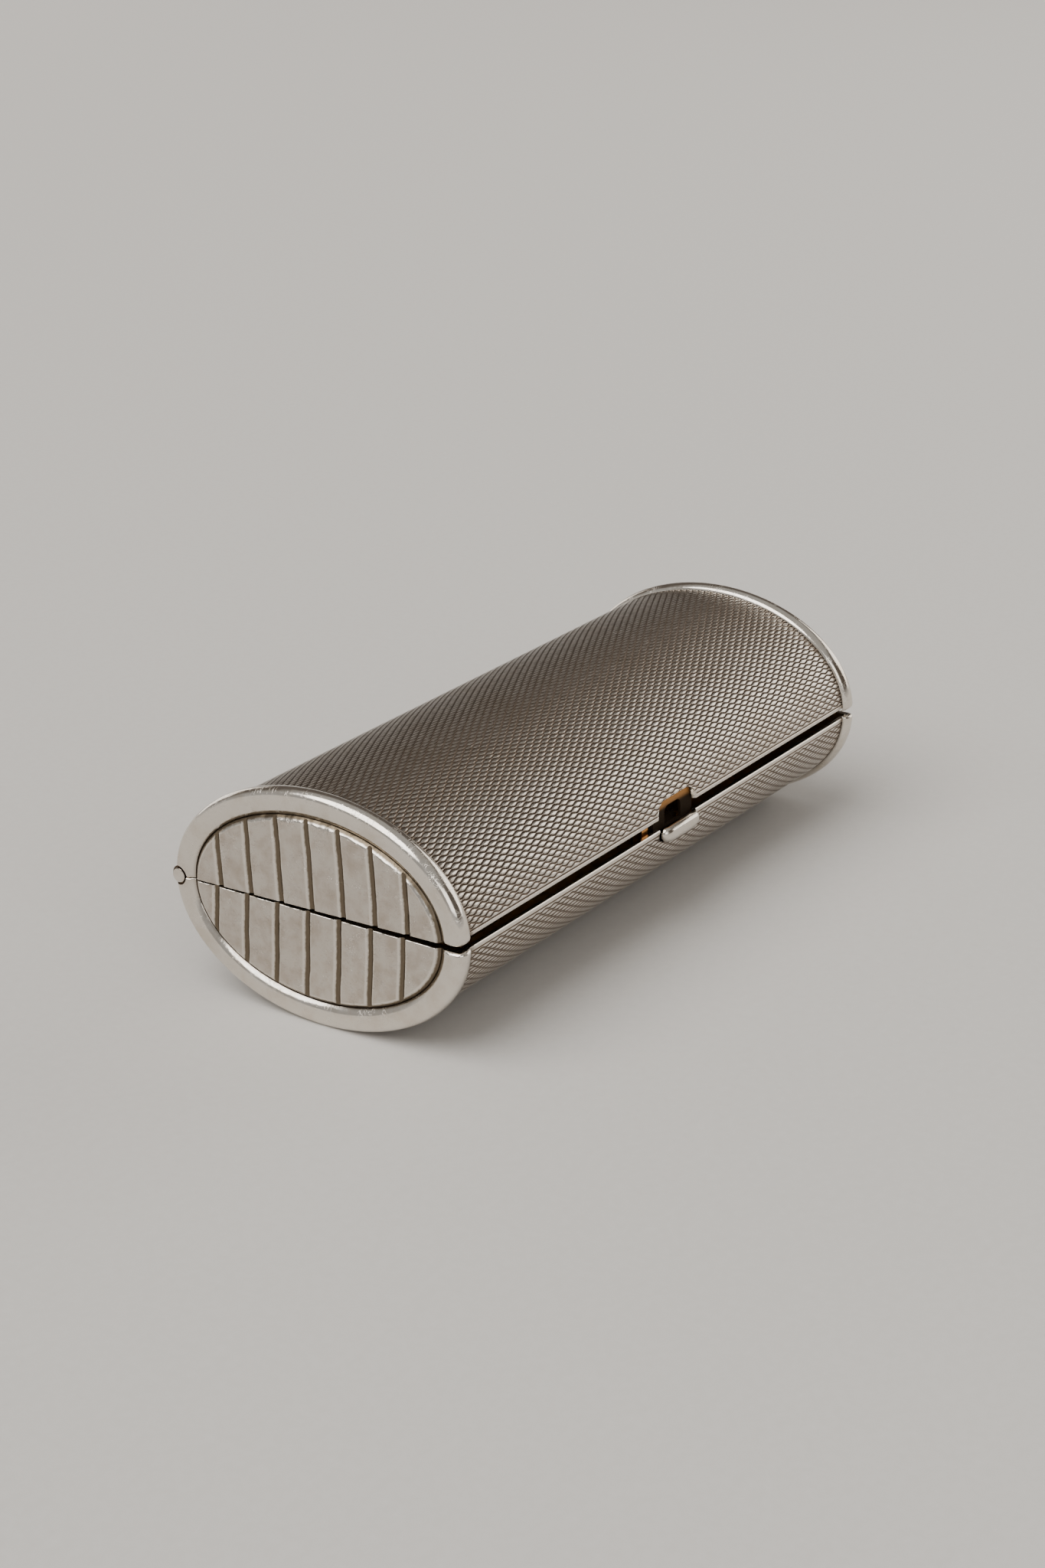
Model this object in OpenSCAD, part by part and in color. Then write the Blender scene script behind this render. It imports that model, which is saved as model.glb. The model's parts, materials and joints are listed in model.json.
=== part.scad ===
// Oval lipstick case: an elliptical tube split along its length and hinged at the back.
// X runs along the case, -Y is the front with the catch, and +Z is up.
// The origin is on the resting plane, under the middle of the case.
// Heights called h are measured from the seam between base and lid.
// Depths called d are measured inwards from the outer ellipse of the rims.

/* [Case] */
// Length over the end rims
case_l = 87.2; // [80:0.2:100]
// Width over the end rims
case_w = 40; // [39:0.1:41]
// Height over the end rims when closed
case_h = 27.5; // [27:0.1:29]
// Thickness of the silver sheet
sheet_t = 0.6; // [0.5:0.05:0.7]
// Angle at which the lid stands ajar on its catch
ajar = 0.9; // [0.8:0.01:2.5]

/* [Rims and end panels] */
// How far the rims stand proud of the body
rim_proud = 0.7; // [0.5:0.05:0.9]
// Width of a rim along the case
rim_w = 2.3; // [2:0.1:3]
// Depth of the flats worn under the rims where the case stands
rest_cut = 0.13; // [0.1:0.01:0.2]
// Width of a rim's face, up to the ribbed field
rim_face = 3; // [2.6:0.1:3.4]
// Spacing of the grooves in the ribbed field
groove_pitch = 4.3; // [3.8:0.1:4.6]
// Grooves in each half of a panel
groove_count = 7; // [3:2:7]
// Width of a groove
groove_w = 0.6; // [0.3:0.05:0.8]
// Lean of the grooves on the lid and on the base, top towards the hinge
groove_lean = [1.5, 3.5];
// Place of the middle groove at the seam on the lid and on the base
groove_middle = [0.2, 0.85];

/* [Hinge] */
// Outside diameter of the hinge barrel
barrel_d = 2.2; // [2:0.1:2.4]
// Diameter of the hinge pin
pin_d = 1.1; // [0.9:0.05:1.2]
// Radial clearance of the pin in the knuckles
pin_play = 0.03; // [0.02:0.01:0.08]
// Knuckles along the hinge
knuckles = 5; // [3:2:7]

/* [Catch] */
// Middle of the catch along the case
catch_x = 1.1; // [-1:0.1:1.5]
// Width of the push piece
push_w = 7.8; // [6:0.1:8]
// Height of the push piece
push_h = 2.2; // [2:0.1:2.4]
// Width of the notch in the lid's edge
notch_w = 8.2; // [6.8:0.1:8.4]
// Height of the notch in the lid's edge
notch_h = 2.4; // [1.6:0.1:2.6]

/* [Inside] */
// Diameter of the lipstick that the clips hold
stick_d = 16; // [15:0.5:17]
// Distance of each clip from the middle of the case
clip_x = 20; // [15:1:26]
// Length and width of the mirror
mirror_size = [71, 23.4];

/* [Hidden] */

$fn = 48;
silver = "silver";
bright = "gainsboro";
gilt = "darkgoldenrod";

LID = 1;
BASE = -1;
NEAR = -1;
FAR = 1;
steps = 44;            // facets round half an ellipse
seam_play = 0.03;            // the ends of each half stop this far from the seam
shell_play = [0.2, 0.47];    // and the long edges of the base's and the lid's sheet this far
semi_w = case_w / 2;
semi_h = case_h / 2;
seam_z = semi_h - rest_cut;
inner_d = rim_proud + sheet_t;
end_x = case_l / 2;

plate_e = [0.7, 1.2];  // an end plate, measured from the end face
groove_depth = 0.4;
field_sink = 0.05;     // the ribbed field lies this far under the rim's face
bevel = 0.55;

barrel_r = barrel_d / 2;
pin_r = pin_d / 2;
hinge_y = semi_w - rim_proud - 0.1;
hinge_gap = 0.12;
pin_head = 0.35;
knuckle_l = (case_l - 2 * pin_head - 0.1) / knuckles;

front_y = -(semi_w + 0.3);          // front of the push piece
wall_y = -(semi_w - inner_d);       // inside of the front wall at the seam
keeper_y = [wall_y + 0.25, wall_y + 0.6];
spring_y = [wall_y + 1.6, wall_y + 1.95];
flange_y = [wall_y + 0.75, wall_y + 1];
flange_h = [-3, -1.6];
push_travel = 0.8;
push_back = keeper_y[0] - push_travel - 0.1;   // back of the push piece, in front of the keeper
keeper_low = -1.33;
keeper_window = [-1.05, 1.25];
nose_h = [keeper_window[0] + 0.08, -0.35];
anchor_x = [catch_x - 6.5, catch_x - 5.2];

mirror_h = 7.6;        // underside of the mirror frame above the seam
glass_t = 0.8;
frame_t = 1.1;
frame_lip = 1;
rail_joint = 0.06;
clip_t = 0.4;
clip_w = 5;
foot_t = 0.4;
clip_r = stick_d / 2 + 0.1;
clip_h = -(semi_h - inner_d) + foot_t + clip_t + clip_r;

function reverse(list) = [for (i = [len(list) - 1:-1:0]) list[i]];

// Half an ellipse that lies d inside the rims' outline, as [y, h] points
function arc(d) =
    let (a = semi_w - d, b = semi_h - d, t0 = asin(seam_play / b))
    [for (i = [0:steps]) let (t = t0 + (180 - 2 * t0) * i / steps) [a * cos(t), b * sin(t)]];

// Half-width of the hollow at height h above or below the seam
function hollow_w(h) = (semi_w - inner_d) * sqrt(1 - pow(h / (semi_h - inner_d), 2));

module along_x(x0, x1) {
    translate([x0, 0, 0]) rotate([90, 0, 90]) linear_extrude(x1 - x0) children();
}

// A profile in X and h, cut or built through the front wall from y0 back to y1
module along_y(y0, y1) {
    translate([0, y1, 0]) rotate([90, 0, 0]) linear_extrude(y1 - y0) children();
}

module block(x, y, h) {
    translate([x[0], y[0], h[0]]) cube([x[1] - x[0], y[1] - y[0], h[1] - h[0]]);
}

// Puts a half's geometry, drawn in h, on the base or on the lid at rest
module on(half) {
    if (half == LID)
        translate([0, hinge_y, seam_z]) rotate([-ajar, 0, 0]) translate([0, -hinge_y, 0]) children();
    else
        translate([0, 0, seam_z]) children();
}

// Turns upper geometry into lower geometry for the base
module half_side(half) {
    mirror([0, 0, half == LID ? 0 : 1]) children();
}

// Turns geometry at the near end into geometry at the far end
module end_side(end) {
    mirror([end == FAR ? 1 : 0, 0, 0]) children();
}

module hinge_cylinder(x0, x1, r) {
    translate([x0, hinge_y, 0]) rotate([0, 90, 0]) cylinder(h = x1 - x0, r = r);
}

function knuckle_start(k) = -knuckles * knuckle_l / 2 + k * knuckle_l;
function owner(k) = k % 2 == 0 ? BASE : LID;

// Room for the barrel: a half touches its own knuckles and clears the other half's
module hinge_room(half) {
    for (k = [0:knuckles - 1]) {
        own = owner(k) == half;
        spare = own ? 0 : 0.1;
        hinge_cylinder(knuckle_start(k) - spare, knuckle_start(k) + knuckle_l + spare,
                       barrel_r + (own ? 0 : hinge_gap));
    }
    for (end = [NEAR, FAR])
        end_side(end) hinge_cylinder(-end_x - 1, knuckle_start(0) + 0.01, barrel_r + hinge_gap);
}

module half_ring(d_out, d_in) {
    polygon(concat(arc(d_out), reverse(arc(d_in))));
}

module tab_outline(w, h, r) {
    translate([-w / 2, -0.5]) square([w, h - r + 0.5]);
    translate([-w / 2 + r, -0.5]) square([w - 2 * r, h + 0.5]);
    for (s = [-1, 1]) translate([s * (w / 2 - r), h - r]) circle(r);
}

// Engine-turned sheet, half an ellipse in section
module shell(half) {
    play = shell_play[half == LID ? 1 : 0];
    color(silver) on(half) difference() {
        half_side(half) along_x(-end_x + plate_e[1], end_x - plate_e[1]) half_ring(rim_proud, inner_d);
        block([-end_x, end_x], [-semi_w, semi_w], [-play, play]);
        hinge_room(half);
        if (half == LID)
            translate([catch_x, 0, 0]) along_y(-semi_w - 1, wall_y + 2) tab_outline(notch_w, notch_h, 1.7);
        else
            translate([catch_x, 0, 0]) along_y(-semi_w - 1, wall_y + 2)
                mirror([0, 1]) tab_outline(push_w + 0.2, push_h + 0.1, 1.7);
    }
}

// Section of a rim as [distance from the end face, d]: a rounded bead, a flat face and a
// slope down to the ribbed field, over the end plate and the end of the sheet
function rim_profile() =
    let (top = rim_w / 2)
    concat(
        [[plate_e[0], rim_proud]],
        [for (q = [90:-30:30]) [top * (1 + sin(q)), rim_proud * (1 - cos(q))]],
        [for (q = [0:18:90]) [top * (1 - sin(q)), 0.9 * (1 - cos(q))]],
        [[0, rim_face - 0.6], [0.6, rim_face], [plate_e[0], rim_face]]
    );

// Sweeps a rim's section round the upper half of the ellipse at the near end
module rim_sweep() {
    profile = rim_profile();
    n = len(profile);
    arcs = [for (p = profile) arc(p[1])];
    points = [for (i = [0:steps]) for (j = [0:n - 1])
        [profile[j][0] - end_x, arcs[j][i][0], arcs[j][i][1]]];
    sides = [for (i = [0:steps - 1]) for (j = [0:n - 1])
        let (k = (j + 1) % n, a = i * n, b = (i + 1) * n)
        each [[a + j, b + j, a + k], [a + k, b + j, b + k]]];
    polyhedron(points, concat(sides, [
        [for (j = [0:n - 1]) j],
        [for (j = [n - 1:-1:0]) steps * n + j]
    ]));
}

module rim(half, end) {
    color(bright) on(half) difference() {
        half_side(half) end_side(end) rim_sweep();
        hinge_room(half);
        block([-end_x, end_x], [-semi_w, semi_w], [-semi_h - 1, -seam_z]);
    }
}

// A V-groove down the ribbed field, from the seam outwards
module groove(half, y) {
    i = half == LID ? 0 : 1;
    reach = semi_h;
    translate([field_sink - end_x, y + groove_middle[i], 0]) rotate([half * -groove_lean[i], 0, 0])
        translate([0, 0, -1]) linear_extrude(reach + 1)
            polygon([[-0.2, -groove_w * 0.75], [groove_depth, 0], [-0.2, groove_w * 0.75]]);
}

// End plate with its raised ribbed field
module panel(half, end) {
    color(silver) on(half) difference() {
        half_side(half) end_side(end) union() {
            along_x(plate_e[0] - end_x, plate_e[1] - end_x) polygon(arc(rim_proud));
            difference() {
                hull() {
                    along_x(field_sink - end_x, field_sink + 0.01 - end_x) polygon(arc(rim_face + bevel));
                    along_x(plate_e[0] - 0.1 - end_x, plate_e[0] - end_x) polygon(arc(rim_face));
                }
                for (k = [0:groove_count - 1]) groove(half, (k - (groove_count - 1) / 2) * groove_pitch);
            }
        }
        hinge_room(half);
    }
}

// One tube of the hinge barrel
module knuckle(k) {
    color(bright) on(owner(k)) difference() {
        hinge_cylinder(knuckle_start(k) + 0.05, knuckle_start(k) + knuckle_l - 0.05, barrel_r);
        hinge_cylinder(-end_x, end_x, pin_r + pin_play);
    }
}

// Hinge pin with a peened head at each end
module hinge_pin() {
    tip = end_x - 0.05;
    color(bright) on(BASE) {
        hinge_cylinder(-tip, tip, pin_r);
        for (end = [NEAR, FAR]) end_side(end) hinge_cylinder(-tip, -tip + pin_head - 0.05, barrel_r);
    }
}

// Spring clip that grips the lower two thirds of a lipstick
module lipstick_clip(end) {
    lip = 20;   // degrees above the clip's middle at which the arms end
    color(gilt) on(BASE) translate([end * clip_x, 0, 0]) {
        difference() {
            along_x(-clip_w / 2, clip_w / 2) translate([0, clip_h]) difference() {
                circle(clip_r + clip_t);
                circle(clip_r);
                polygon([[0, 0], [20, 20 * tan(lip)], [20, 20], [-20, 20], [-20, 20 * tan(lip)]]);
            }
            rivet_pair();
        }
        for (s = [-1, 1]) rotate([0, 90, 0])
            translate([-clip_h - (clip_r + 0.3) * sin(lip), s * (clip_r + 0.3) * cos(lip), -clip_w / 2])
                cylinder(h = clip_w, r = 0.3);
        clip_foot();
    }
}

// Pad between a clip and the floor of the case
module clip_foot() {
    under = clip_h - clip_r - clip_t / 2;
    intersection() {
        block([-clip_w / 2, clip_w / 2], [-2.2, 2.2], [-semi_h, under]);
        half_side(BASE) along_x(-clip_w, clip_w) polygon(arc(inner_d));
        difference() {
            along_x(-clip_w, clip_w) square(2 * semi_w, center = true);
            translate([-clip_w, 0, clip_h]) rotate([0, 90, 0]) cylinder(h = 2 * clip_w, r = clip_r + clip_t / 2);
        }
    }
}

module rivet_pair() {
    for (s = [-1, 1]) translate([s * 1.4, 0, clip_h - clip_r - 0.05]) cylinder(h = 0.25, r = 0.45);
}

// Low rivets that hold the clips to their pads
module clip_rivets() {
    color(gilt) on(BASE) for (end = [NEAR, FAR]) translate([end * clip_x, 0, 0]) rivet_pair();
}

// Leaf spring of the catch, held at one end, with the wedge that the keeper snaps over
module catch_spring() {
    color(gilt) on(BASE) {
        block([anchor_x[0], catch_x + 2.6], spring_y, [-3.4, nose_h[1]]);
        along_x(catch_x - 1.4, catch_x + 1.4) polygon([
            [spring_y[0] + 0.1, nose_h[0]], [keeper_y[0] + 0.1, nose_h[0]],
            [keeper_y[0] + 0.1, nose_h[0] + 0.05], [spring_y[0] + 0.1, nose_h[1]]
        ]);
    }
}

// Block that carries the spring and stands up inside the lid's edge
module catch_anchor() {
    color(gilt) on(BASE) {
        intersection() {
            block(anchor_x, [wall_y - 1, spring_y[0]], [-3.4, -0.5]);
            half_side(BASE) along_x(-20, 20) polygon(arc(inner_d));
        }
        block(anchor_x, [wall_y + 0.4, spring_y[0]], [-0.6, 0.9]);
    }
}

// Two rivets through the spring into its anchor block
module catch_rivets() {
    middle = (anchor_x[0] + anchor_x[1]) / 2;
    color(gilt) on(BASE) for (h = [-2.7, -1.2])
        translate([middle, spring_y[1], h]) rotate([-90, 0, 0]) cylinder(h = 0.2, r = 0.4);
}

// Half-moon thumb piece that slides inwards through the base's front edge
module push_piece() {
    color(bright) on(BASE) translate([catch_x, 0, 0]) {
        difference() {
            along_y(front_y, wall_y + 0.05) mirror([0, 1]) tab_outline(push_w, push_h, 1.6);
            block([-push_w, push_w], [front_y - 1, 0], [-0.1, 2]);
            block([-push_w, push_w], [push_back, 0], [flange_h[1], 2]);
        }
        block([-2.6, 2.6], [wall_y, flange_y[0]], [-push_h, flange_h[1]]);
    }
}

// Plate behind the wall that keeps the push piece in and bears on the spring
module push_flange() {
    color(gilt) on(BASE) translate([catch_x, 0, 0]) {
        block([-4.4, 4.4], flange_y, flange_h);
        block([-1.5, 1.5], [flange_y[1], spring_y[0] - 0.05], [flange_h[0] + 0.1, flange_h[1] - 0.15]);
    }
}

// Loop inside the lid's front that snaps over the spring's nose
module catch_keeper() {
    top = 4.5;
    color(gilt) on(LID) translate([catch_x, 0, 0]) difference() {
        intersection() {
            along_y(keeper_y[0], keeper_y[1]) translate([0, top]) mirror([0, 1])
                tab_outline(8.6, top - keeper_low, 0.7);
            along_x(-5, 5) union() {
                polygon(arc(inner_d));
                translate([-semi_w + inner_d, keeper_low]) square([4, 0.1 - keeper_low]);
            }
        }
        along_y(keeper_y[0] - 1, keeper_y[1] + 1) translate([0, keeper_window[0] + 0.5])
            tab_outline(3.6, keeper_window[1] - keeper_window[0] - 0.5, 0.8);
    }
}

module mirror_plate(size, h) {
    translate([-size[0] / 2, -size[1] / 2, h[0]]) cube([size[0], size[1], h[1] - h[0]]);
}

// Four rails that lie across the hollow of the lid, each with a lip under the mirror
module mirror_frame() {
    wide = 2 * hollow_w(mirror_h + frame_t) - 0.02;
    long = mirror_size[0] + 3;
    inner = mirror_size - [2 * frame_lip, 2 * frame_lip];
    color(gilt) on(LID) difference() {
        mirror_plate([long, wide], [mirror_h, mirror_h + frame_t]);
        mirror_plate(inner, [mirror_h - 1, mirror_h + 2]);
        mirror_plate(mirror_size + [0.1, 0.1], [mirror_h + 0.3, mirror_h + 2]);
        // Joints between the rails, just beyond the mirror's ends
        for (s = [-1, 1]) translate([s * inner[0] / 2, 0, 0]) cube([rail_joint, wide + 1, 50], center = true);
    }
}

module mirror_glass() {
    color("lightsteelblue") on(LID) mirror_plate(mirror_size, [mirror_h + 0.3, mirror_h + 0.3 + glass_t]);
}

module mirror_backing() {
    low = mirror_h + 0.3 + glass_t;
    color("dimgray") on(LID) mirror_plate(mirror_size - [0.6, 0.6], [low, low + 0.4]);
}

shell(BASE);  // base_shell
rim(BASE, NEAR);  // base_rim_near
rim(BASE, FAR);  // base_rim_far
panel(BASE, NEAR);  // base_panel_near
panel(BASE, FAR);  // base_panel_far
knuckle(0);  // base_knuckle_near
knuckle(2);  // base_knuckle_middle
knuckle(4);  // base_knuckle_far
hinge_pin();
lipstick_clip(NEAR);  // lipstick_clip_near
lipstick_clip(FAR);  // lipstick_clip_far
clip_rivets();
catch_spring();
catch_anchor();
catch_rivets();
push_piece();
push_flange();
shell(LID);  // lid_shell
rim(LID, NEAR);  // lid_rim_near
rim(LID, FAR);  // lid_rim_far
panel(LID, NEAR);  // lid_panel_near
panel(LID, FAR);  // lid_panel_far
knuckle(1);  // lid_knuckle_near
knuckle(3);  // lid_knuckle_far
catch_keeper();
mirror_frame();
mirror_glass();
mirror_backing();
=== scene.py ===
"""Looks of the oval silver lipstick case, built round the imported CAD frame.

Lengths in this script are in millimetres and become metres where a mesh is made.
A half of the case is drawn as its upper half: x runs along the case, y towards the hinge and
h up from the seam. The base is the mirror image, and the lid is turned about the hinge to
stand ajar. Depths called d are measured inwards from the outer ellipse of the rims, and
depths called e from an end of the case.
"""

import json
import math

import bpy
import numpy as np
from mathutils import Matrix, Vector


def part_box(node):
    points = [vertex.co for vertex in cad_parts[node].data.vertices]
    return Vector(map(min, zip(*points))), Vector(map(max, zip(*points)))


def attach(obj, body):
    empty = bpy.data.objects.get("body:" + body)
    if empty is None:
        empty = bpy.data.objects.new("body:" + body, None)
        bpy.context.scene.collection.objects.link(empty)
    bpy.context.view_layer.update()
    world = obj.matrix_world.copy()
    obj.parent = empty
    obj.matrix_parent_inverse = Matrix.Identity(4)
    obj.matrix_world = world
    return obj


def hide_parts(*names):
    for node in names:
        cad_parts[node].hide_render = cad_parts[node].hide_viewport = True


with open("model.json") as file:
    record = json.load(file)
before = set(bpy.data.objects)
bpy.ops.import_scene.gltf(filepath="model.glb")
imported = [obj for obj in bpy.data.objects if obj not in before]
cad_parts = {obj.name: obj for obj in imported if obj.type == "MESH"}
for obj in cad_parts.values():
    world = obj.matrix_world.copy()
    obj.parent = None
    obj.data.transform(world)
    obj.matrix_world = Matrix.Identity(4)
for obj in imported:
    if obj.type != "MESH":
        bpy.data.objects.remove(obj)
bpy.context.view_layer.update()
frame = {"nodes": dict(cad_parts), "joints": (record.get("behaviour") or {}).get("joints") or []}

MM = 0.001
LID, BASE = 1, -1
NEAR, FAR = -1, 1
BODY_NAME = {LID: "lid", BASE: "base"}
END_NAME = {NEAR: "near", FAR: "far"}


def joint(name):
    return next(j for j in frame["joints"] if j["name"] == name)


def size_mm(node):
    """Lowest and highest corner of a CAD node, in millimetres."""
    low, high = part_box(node)
    return [v / MM for v in low], [v / MM for v in high]


HINGE_Y, SEAM_Z = [v / MM for v in joint("lid_hinge")["pos_m"][1:]]
AJAR = math.radians(-joint("lid_hinge")["range_deg"][0])
RIM_LOW, RIM_HIGH = size_mm("base_rim_near")
SHELL_LOW, SHELL_HIGH = size_mm("base_shell")
PANEL_LOW, _ = size_mm("base_panel_near")
KNUCKLE_LOW, KNUCKLE_HIGH = size_mm("base_knuckle_near")
_, PIN_HIGH = size_mm("hinge_pin")
PUSH_LOW, PUSH_HIGH = size_mm("push_piece")
KEEPER_LOW, _ = size_mm("catch_keeper")

# The case
END_X = -RIM_LOW[0]
SEMI_W = RIM_HIGH[1]
RIM_W = RIM_HIGH[0] - RIM_LOW[0]
RIM_PROUD = SEMI_W + SHELL_LOW[1]
SEMI_H = SEAM_Z - SHELL_LOW[2] + RIM_PROUD
SHELL_X = SHELL_HIGH[0]
SEAM_PLAY = SEAM_Z - RIM_HIGH[2]
LID_SHEET_BACK = 0.27  # the lid's sheet ends this much further from the seam than the base's
SHELL_PLAY = {BASE: SEAM_Z - SHELL_HIGH[2], LID: SEAM_Z - SHELL_HIGH[2] + LID_SHEET_BACK}
SHEET = 0.6
INNER_D = RIM_PROUD + SHEET
PLATE_E = (0.7, END_X - SHELL_X)  # the end plates lie between these depths

# Edges and cutters
PAST = 1.0  # how far a cutter reaches past the piece
SHARP, RIM_SHARP, PANEL_SHARP = 38, 50, 30  # degrees above which an edge is crisp
BEVEL_ANGLE = 35
LATHE_STEPS = 64
QUARTER = math.pi / 2

# The hinge
BARREL_R = (KNUCKLE_HIGH[1] - KNUCKLE_LOW[1]) / 2
PIN_R = BARREL_R / 2
PIN_TIP = PIN_HIGH[0]
KNUCKLES = 5
KNUCKLE_PLAY = 0.1
KNUCKLE_L = KNUCKLE_HIGH[0] - KNUCKLE_LOW[0] + KNUCKLE_PLAY
KNUCKLE_NAME = ("near", "near", "middle", "far", "far")
KNUCKLE_EDGE, KNUCKLE_EDGE_STEPS = 0.14, 5
PIN_PLAY = 0.03
OWN_GAP, HINGE_GAP = 0.01, 0.12  # from the barrel to the half that owns a knuckle, and the other
END_ROOM = 5.0  # the barrel's room in the end pieces reaches this far in
PIN_HEAD_R = 1.1  # the barrel's radius in the head's profile of (e, r)
PIN_HEAD = ((0.07, 0.05), (0.05, 0.3), (0.015, 0.55), (0.0, 0.68), (0.015, 0.78), (0.08, 0.86),
            (0.2, 0.88), (0.34, 0.92), (0.36, 1.04), (0.38, 1.1), (0.42, 1.1), (0.42, PIN_R))
PIN_RING_R, PIN_TARNISH = 0.85, 0.9

# The rims
RIM_FACE = 3.0
RIM_TUCK = 0.02
BEAD_D = 0.9
FACE_CURVE, FACE_MIDDLE = 0.15, 1.5
FACE_SPAN = (0.95, RIM_FACE - 0.8)
BEHIND_STEPS, BEFORE_STEPS, FACE_STEPS = 9, 13, 8
RIM_SLOPE = ((0.13, -0.66), (0.2, -0.54), (0.5, -0.08), (0.6, -0.02))
RIM_DARK_W = 0.16
FRONT_CORNER = {LID: (1.0, 0.6), BASE: (0.5, 0.6)}  # rounding along d and along e
BACK_CORNER = (0.5, 0.3)
CORNER_REACH = 1.2
SEAM_STATIONS = (0, 0.0004, 0.001, 0.002, 0.0035, 0.0055, 0.008, 0.011, 0.015, 0.02, 0.026)
MIDDLE_STATIONS = (0.034, 0.966, 130)

# The end panels
FIELD_E = END_X + PANEL_LOW[0]
CHAMFER = ((0.52, 0.04), (0.47, 0.08), (0.4, 0.15), (0.16, 0.42), (0.08, 0.53), (0.03, 0.66),
           (0.008, 0.8), (0.0, 1.0))
GROOVE_PITCH = 4.3
GROOVE_COUNT = 7
GROOVE_W = 0.8
GROOVE_DEPTH = 0.4
GROOVE_LEAN = {LID: 1.5, BASE: 3.5}
GROOVE_MIDDLE = {LID: 0.2, BASE: 0.85}
GROOVE_SHOULDER = ((0.9, -0.012), (0.5, 0.006), (0.24, 0.022), (0.12, 0.05), (0.03, 0.095),
                   (-0.04, 0.16))
GROOVE_BOTTOM = ((0.24, 0.08), (0.15, 0.02), (0.0, 0.0))
GROOVE_WANDER = ((0.035, 1.3, 0.8), (0.02, 2.9, 1.7))  # size, and turns by y and by h
GROOVE_STEPS = 14
FIELD_ROUND, FIELD_ROUND_STEPS = 0.16, 6

# The catch
CATCH_X = (PUSH_LOW[0] + PUSH_HIGH[0]) / 2
PUSH_W = PUSH_HIGH[0] - PUSH_LOW[0]
PUSH_H = 2.2
PUSH_TOP = 0.1
PUSH_PLAY = 0.1
PUSH_SIDE_Y = -SEMI_W + 0.55
WALL_Y = -SEMI_W + INNER_D
PUSH_BACK = KEEPER_LOW[1] - 0.9
PUSH_CORNER = 0.8
PUSH_CORNER_SHARE, PUSH_CORNER_STEPS = 0.6, 7
PUSH_ROUND, PUSH_TOP_ROUND = 1.15, 0.45
PUSH_DOME_STEPS = 14
PUSH_EDGE = 0.07
STEM_TOP = 1.65
BACK_INSET, STEM_INSETS = 0.05, (0.1, 0.15)
NOTCH_W, NOTCH_H, NOTCH_R = 8.2, 2.4, 1.7
NOTCH_INSET = 0.15  # the notch's narrowest part is smaller than its size by this
NOTCH_FLARE, NOTCH_FLARE_Y = 0.7, 0.6

# The engine turning
ROW_PITCH = 0.46
WAVE_L = 1.75
WAVE_A = 0.105
CUT_DEPTH = 0.1
CUT_SLOPE = 0.85
CUT_LIP = 0.12
HOLLOW_DEPTH = 0.055
HOLLOW_SLOPE = 0.24
PLAIN_EDGE = 0.55
SAMPLES_PER_WAVE = 8
ROW_STATIONS = (0.0, 0.16, 0.5, 0.84)
DIP, DIP_RISE, DIP_LENGTH = 0.55, 3.0, 4.0
SEAM_ROUND, ROUND_REACH = 0.1, 1.6
BORDER_STEPS = (0, 0.4, 1.0, ROUND_REACH)  # across the rounding along the seam
ARC_POINTS = 6001


# ---------------------------------------------------------------- mesh helpers

def to_row(points, half):
    """Points of a half, in millimetres, to the row frame in metres."""
    p = np.array(points, float).reshape(-1, 3)
    if half == BASE:
        p[:, 2] *= -1
    else:
        y, h = p[:, 1] - HINGE_Y, p[:, 2].copy()
        p[:, 1] = HINGE_Y + y * math.cos(AJAR) + h * math.sin(AJAR)
        p[:, 2] = -y * math.sin(AJAR) + h * math.cos(AJAR)
    p[:, 2] += SEAM_Z
    return p * MM


def flipped(faces, flip):
    return [tuple(reversed(f)) for f in faces] if flip else faces


def grid_faces(rows, columns, ring=False):
    """Quads over rows x columns points, each row closed into a ring if asked."""
    last = columns if ring else columns - 1
    return [
        (i * columns + j, i * columns + (j + 1) % columns,
         (i + 1) * columns + (j + 1) % columns, (i + 1) * columns + j)
        for i in range(rows - 1) for j in range(last)
    ]


def linked(name, data):
    """A new object in the scene."""
    obj = bpy.data.objects.new(name, data)
    bpy.context.scene.collection.objects.link(obj)
    return obj


def mesh_object(name, points, faces, materials=(), face_slots=None):
    """A linked, smooth-shaded mesh object from points in metres."""
    mesh = bpy.data.meshes.new(name)
    mesh.from_pydata([tuple(p) for p in points], [], faces)
    for m in materials:
        mesh.materials.append(m)
    if face_slots is not None:
        mesh.polygons.foreach_set("material_index", np.asarray(face_slots, np.int32))
    mesh.polygons.foreach_set("use_smooth", np.ones(len(mesh.polygons), bool))
    mesh.update()
    return linked(name, mesh)


def swept(name, rings, half, materials=(), against=False, joined=False):
    """A closed solid through rings of points, capped at both ends or joined in a loop.

    The rings turn by the right hand about the way they're swept, or against it.
    """
    count, n = len(rings), len(rings[0])
    faces = grid_faces(count, n, ring=True)
    last = (count - 1) * n
    if joined:
        faces += [(last + j, last + (j + 1) % n, (j + 1) % n, j) for j in range(n)]
    else:
        faces += [tuple(reversed(range(n))), tuple(range(last, last + n))]
    points = to_row(np.concatenate([np.asarray(r, float) for r in rings]), half)
    return mesh_object(name, points, flipped(faces, against != (half == BASE)), materials)


def prism_y(name, outline, y0, y1, half):
    """A closed prism from y0 to y1 with an outline in x and h, drawn anticlockwise."""
    rings = [[(x, y, h) for x, h in outline] for y in (y0, y1)]
    return swept(name, rings, half, against=True)


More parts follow.
